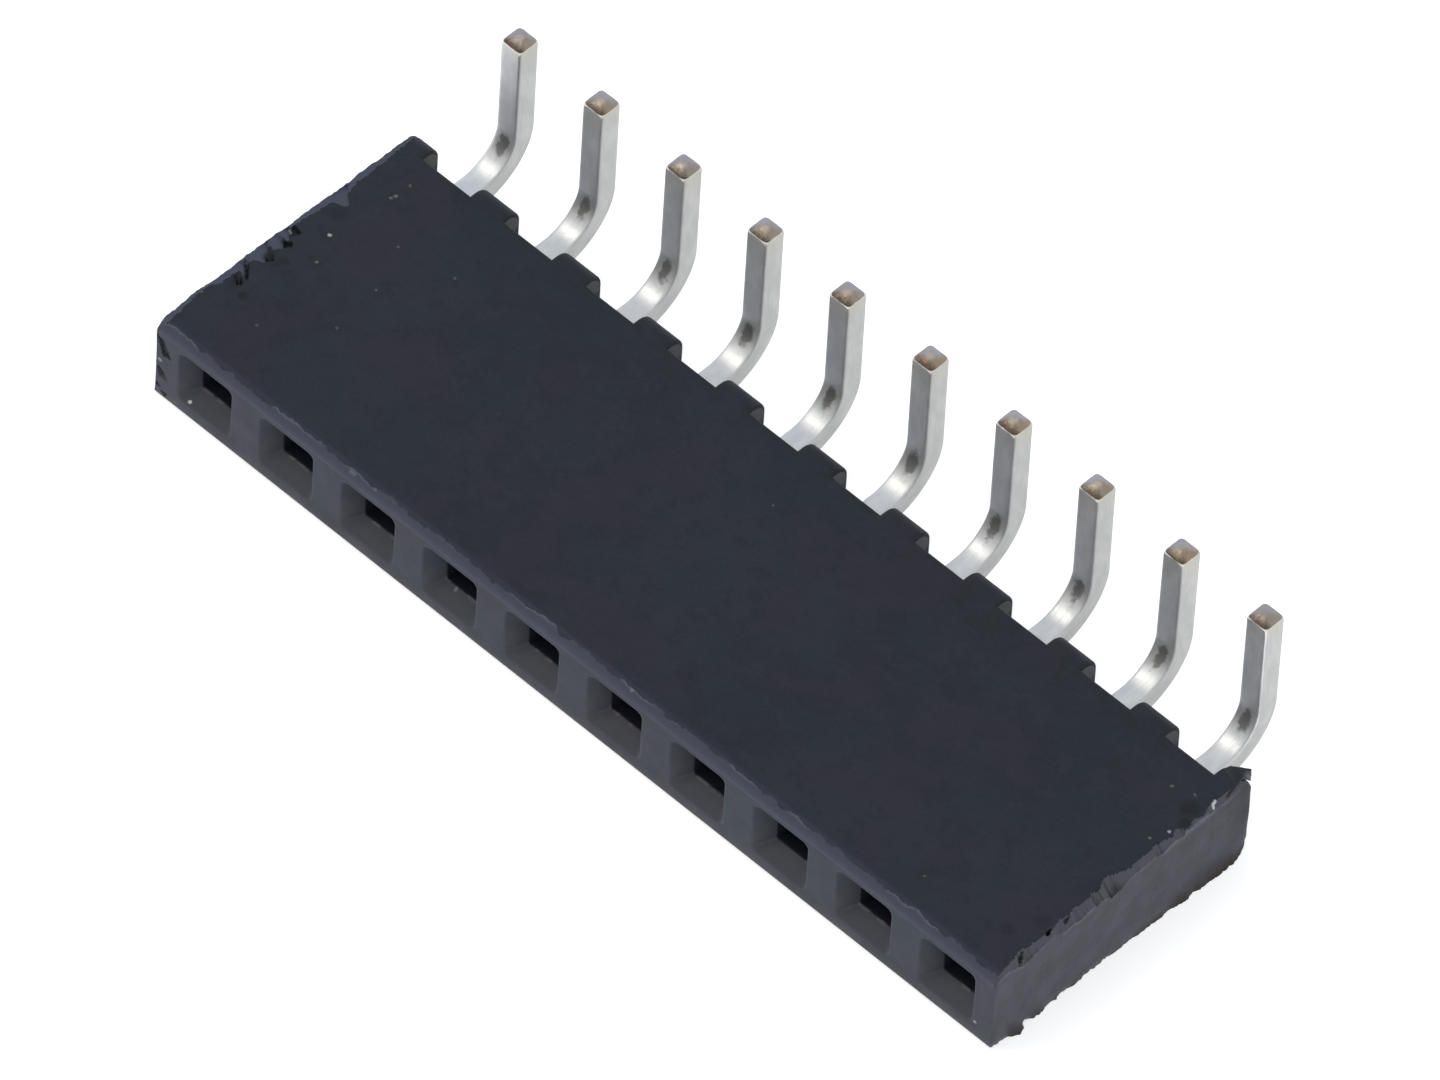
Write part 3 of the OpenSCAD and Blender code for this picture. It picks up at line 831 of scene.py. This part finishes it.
def cage_shell():
    """The sheet folded up on both sides, open at the top."""
    inner = cage_half - sheet
    fold, rim_z = inner - cage_fold_r, cage_top - cage_rim
    outline = [(-cage_half, rim_z)]
    outline += arc(-inner, floor_z + sheet, sheet, 180, 6) + arc(inner, floor_z + sheet, sheet, 270, 6)
    outline += [(cage_half, rim_z), (cage_half - cage_rim, cage_top), (inner + cage_rim, cage_top),
                (inner, rim_z)]
    outline += arc(fold, floor_z + sheet + cage_fold_r, cage_fold_r, 270, 3)[::-1]
    outline += arc(-fold, floor_z + sheet + cage_fold_r, cage_fold_r, 180, 3)[::-1]
    outline += [(-inner, rim_z), (-inner - cage_rim, cage_top), (-cage_half + cage_rim, cage_top)]
    shell = bmesh.new()
    loft(shell, [[(x, y, z) for x, z in outline] for y in (cage_start, cage_end)], closed=True)
    return shell


def spring_x(y):
    """How far a spring's middle is from the contact's axis at a depth."""
    root_x = cage_half - sheet / 2
    if y > pinch_y:
        way = min(1, (y - pinch_y) / (cage_start - pinch_y))
        return pinch_x + (root_x - pinch_x) * (1 - cos(radians(180) * way)) / 2
    return pinch_x + flare * ((pinch_y - y) / (pinch_y - spring_tip_y)) ** 2


def spring_shell(side):
    """One spring: it closes to the pinch and turns out at its rounded tip."""
    rings = []
    for k in range(spring_steps + 1):
        y = spring_tip_y + (spring_root_y - spring_tip_y) * k / spring_steps
        height = spring_h + spring_growth * (y - spring_tip_y) / (spring_root_y - spring_tip_y)
        thick = 0.17 if y > cage_start else sheet
        if k == 0:
            height, thick = height - 0.08, thick - 0.08
        x = side * spring_x(y)
        rings.append([(x + px, y, mid_z + pz) for px, pz in rounded(thick, height, spring_r)])
    shell = bmesh.new()
    loft(shell, rings, closed=True)
    return shell


def span(*parts):
    """How long these parts of a vector make it."""
    whole = parts[0].node("CombineXYZ", {}, dict(enumerate(parts)))
    return whole.node("VectorMath", {"operation": "LENGTH"}, {0: whole})


def tin_plate():
    """Satin tin over drawn bronze: faint lines along the wire, soft stains, and a yellow tinge near the tip.
    A dark reflection is painted inside the bend, and one of the housing lower down on that side."""
    material, shader, place = new_finish("tin plate")
    silver, warm_silver, line_grey = (0.68, 0.683, 0.66), (0.78, 0.777, 0.738), (0.60, 0.60, 0.60)
    yellow, dark_reflection_brown, housing_reflection_grey = (0.72, 0.68, 0.56), (0.12, 0.115, 0.105), (0.35, 0.35, 0.35)
    dark_reflection_x, dark_reflection_z = 0.01, 2.15
    x = place.node("SeparateXYZ", {}, {0: place})
    y, z = x.of("Y"), x.of("Z")
    across = span(y.maths("MAXIMUM", y - bend_y, 0), z.maths("MAXIMUM", bend_z - z, 0))
    along = y + z
    lines = cloud(x.node("CombineXYZ", {}, {0: x, 1: across, 2: along * 0.06}), 0.05, 3, 0.6)
    blots = cloud(x.node("CombineXYZ", {}, {0: x, 1: across, 2: along * 0.5}), 0.35, 3, 0.6)
    grain = cloud(place, 0.035, 2)
    colour = blend(rising(blots, 0.35, 0.7), silver, warm_silver)
    colour = blend(rising(lines, 0.45, 0.75) * 0.3, colour, line_grey)
    colour = blend(rising(z + 0.5 * blots, 4.9, 5.75) * 0.5, colour, yellow)
    # A dark reflection painted in the inside of the bend
    from_dark_reflection = span((from_middle(x) - dark_reflection_x) * 2.0, z - dark_reflection_z, 0.25 * blots)
    dark_reflection = rising(from_dark_reflection + 0.35 * (cloud(place, 0.13) - 0.5), 0.38, 0.22) * rising(across, 1.12, 1.05)
    colour = blend(dark_reflection * 0.7, colour, dark_reflection_brown)
    # Painted darker reflection of the housing on the lower part of the upright's inner side
    housing_reflection = rising(across, 1.04, 1.01) * rising(z, 4.3, 3.0) * rising(z, 2.3, 2.7)
    colour = blend(housing_reflection * 0.35, colour, housing_reflection_grey)
    feed(shader, {
        "Base Color": colour,
        "Metallic": 0.88,
        "Roughness": 0.30 + 0.14 * lines + 0.14 * blots,
        "Normal": bump(1.6 * lines + grain + 3 * blots, 0.0024),
    })
    return material


def sheared_end():
    """The sheared, coined end: brown bronze, darkest along its front edge, with tin smeared over its back.
    A highlight is painted in the middle of each tip, fading out over the last ones.
    """
    material, shader, place = new_finish("sheared bronze")
    fawn, orange = (0.36, 0.31, 0.25), (0.38, 0.29, 0.20)
    highlight_tan, umber = (0.58, 0.47, 0.36), (0.10, 0.075, 0.055)
    cool_smear, warm_smear = (0.41, 0.40, 0.395), (0.37, 0.34, 0.335)
    x = place.node("SeparateXYZ", {}, {0: place})
    local_x = from_middle(x)
    towards_front = tail_y - x.of("Y")
    smear = cloud(place, 0.2, 3, 0.6)
    speckle = cloud(place, 0.05, 2)
    own = cloud(x.node("CombineXYZ", {}, {0: x}), 1.1, 0)
    bare = rising(0.6 * local_x + 0.7 * towards_front + 0.6 * (smear - 0.5), -0.2, 0.12)
    dark = rising(towards_front + 0.02 * local_x + 0.15 * (speckle - 0.5), 0.07, 0.28)
    tan = blend(rising(own, 0.35, 0.65), fawn, orange)
    # A highlight painted in the middle of each tip, fading out over the last ones
    tip_highlight = rising(span(local_x, towards_front - 0.03), 0.16, 0.04)
    tan = blend(tip_highlight * rising(x.of("X"), 10, 6), tan, highlight_tan)
    colour = blend(bare, blend(rising(own, 0.6, 0.4), cool_smear, warm_smear), blend(dark, tan, umber))
    feed(shader, {
        "Base Color": colour,
        "Metallic": 1,
        "Roughness": 0.42 + 0.15 * speckle,
        "Normal": bump(smear + 0.2 * speckle, 0.008),
    })
    return material


contact_form = united([tail_shell(), cage_shell(), spring_shell(-1), spring_shell(1)])
contact_finishes = [tin_plate(), sheared_end()]
# Each upright leans a little, and each tip is sheared unevenly
tilt_size, tip_uneven, tip_over = 0.006, 0.03, 0.05
for index, (name, x) in enumerate(zip(contact_nodes, contact_xs)):
    contact = contact_form.copy()
    tilt_x, tilt_y = (tilt_size * noise.noise(Vector((index * 3.7, k, 5.5))) for k in (1.5, 8.5))
    for point in contact.verts:
        above = max(0, point.co.z - bend_z) if point.co.y > bend_y else 0
        uneven_by = tip_uneven * max(0, min(1, (point.co.z - shoulder_z + 0.01) / tip_over))
        sheared = Vector((point.co.x * 7 + index * 5.1, point.co.y * 7, point.co.z * 7))
        point.co.x += x + tilt_x * above + uneven_by * noise.noise(sheared + Vector((9, 0, 0)))
        point.co.y += tilt_y * above + uneven_by * noise.noise(sheared + Vector((0, 9, 0)))
        point.co.z += uneven_by * min(0, noise.noise(sheared))
    for face in contact.faces:
        face.material_index = int(face.calc_center_median().z > shoulder_z - 0.004)
    tinned = as_object(contact, f"tinned_{name}", contact_finishes, crisp=28)
    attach(tinned, "root")
    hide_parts(name)
contact_form.free()

# Camera: at the photograph's place, which a pinhole fit to 46 of its points gave.
# The target is a point on the part in metres, and its place in the photograph in pixels.
camera_azimuth, camera_elevation, camera_roll = radians(41.368), radians(50.916), radians(3.618)
camera_distance = 0.569554
frame_px, focal_px, sensor_mm = (1440, 1080), 25812, 36
target, target_px = Vector((0.000055, -0.00105, 0.0015)), (699.7, 579.2)
back = Vector((sin(camera_azimuth) * cos(camera_elevation), -cos(camera_azimuth) * cos(camera_elevation),
               sin(camera_elevation)))
level = Vector((cos(camera_azimuth), sin(camera_azimuth), 0))
rise = back.cross(level)
camera_x = cos(camera_roll) * level + sin(camera_roll) * rise
camera_y = cos(camera_roll) * rise - sin(camera_roll) * level
aside = (frame_px[0] / 2 - target_px[0]) / focal_px * camera_distance
lift = (target_px[1] - frame_px[1] / 2) / focal_px * camera_distance
camera_data = bpy.data.cameras.new("camera")
camera_data.sensor_width = sensor_mm
camera_data.lens = focal_px / frame_px[0] * sensor_mm
camera_data.clip_start, camera_data.clip_end = 0.02, 20
camera = bpy.data.objects.new("camera", camera_data)
bpy.context.scene.collection.objects.link(camera)
place = Matrix.Translation(target + back * camera_distance + camera_x * aside + camera_y * lift)
camera.matrix_world = place @ Matrix((camera_x, camera_y, back)).transposed().to_4x4()
bpy.context.scene.camera = camera
bpy.context.scene.view_settings.view_transform = "Standard"

# Studio: a white tent round the part, darker and bluer overhead and behind, and one warm soft box in front.
# The camera sees plain white. Light Path picks that out, so that it adds no light to the part.
world = bpy.data.worlds.new("studio")
bpy.context.scene.world = world
world.use_nodes = True
start = Shade(world.node_tree)
sky = start.node("TexCoord", {}, {}, "Generated")
up = sky.node("SeparateXYZ", {}, {0: sky}).of("Z")
towards_back_left = sky.node("VectorMath", {"operation": "DOT_PRODUCT"}, {0: sky, 1: (-0.66, 0.75, 0)})
side_light, overhead_light = (1.15, 1.14, 1.12), (0.66, 0.69, 0.75)
back_light, plain_white = (0.86, 0.95, 1.22), (1, 1, 1)
tent = blend(rising(up, 0.1, 0.75), side_light, overhead_light)
tent = blend(rising(towards_back_left, 0.1, 0.8) * 0.6, tent, back_light)
tent = blend(start.node("LightPath", {}, {}, "Is Camera Ray"), tent, plain_white)
world.node_tree.links.new(tent.socket, world.node_tree.nodes["Background"].inputs["Color"])

box_direction = Vector((-0.42, -0.37, 0.829))
box_distance, box_size, box_power, box_warmth = 0.6, 0.2, 0.6, (1.0, 0.965, 0.88)
box_data = bpy.data.lights.new("soft box", "AREA")
box_data.shape = "DISK"
box_data.size = box_size
box_data.energy = box_power
box_data.color = box_warmth
soft_box = bpy.data.objects.new("soft box", box_data)
soft_box.location = box_distance * box_direction
soft_box.rotation_euler = box_direction.to_track_quat("Z", "Y").to_euler()
bpy.context.scene.collection.objects.link(soft_box)

# Table: a pale matt sheet that the strip lies on. It glows a little for the camera and for reflections alone,
# bluer in the body's reflections than in those of the tails, behind the strip and beside its first end.
# It lies a hair below the strip, so that the strip's underside and the sheet don't share a plane.
table_half, table_z = 2, -0.000004
paper_white = (0.86, 0.85, 0.83, 1)
seen_glow, body_glow, tail_glow = (0.52, 0.52, 0.52), (0.77, 0.82, 1.02), (0.09, 0.09, 0.08)
table = bpy.data.meshes.new("table")
table.from_pydata([(-table_half, -table_half, table_z), (table_half, -table_half, table_z),
                   (table_half, table_half, table_z), (-table_half, table_half, table_z)], [], [(0, 1, 2, 3)])
paper, shader, place = new_finish("white paper")
rays = place.node("LightPath", {}, {})
parts = place.node("SeparateXYZ", {}, {0: place})
behind = rising(parts.of("Y"), 8.2, 9.2)
beside = rising(parts.of("X"), -12.4, -13) * rising(parts.of("Y"), 2, 4)
by_tails = behind.maths("MAXIMUM", behind, 0.6 * beside)
glow = blend(rays.of("Is Camera Ray"), (0, 0, 0), seen_glow)
glow = blend(rays.of("Is Glossy Ray"), glow, blend(by_tails, body_glow, tail_glow))
feed(shader, {
    "Base Color": paper_white,
    "Roughness": 1,
    "Specular IOR Level": 0,
    "Emission Color": glow,
    "Emission Strength": 1,
})
table.materials.append(paper)
table_object = bpy.data.objects.new("table", table)
bpy.context.scene.collection.objects.link(table_object)
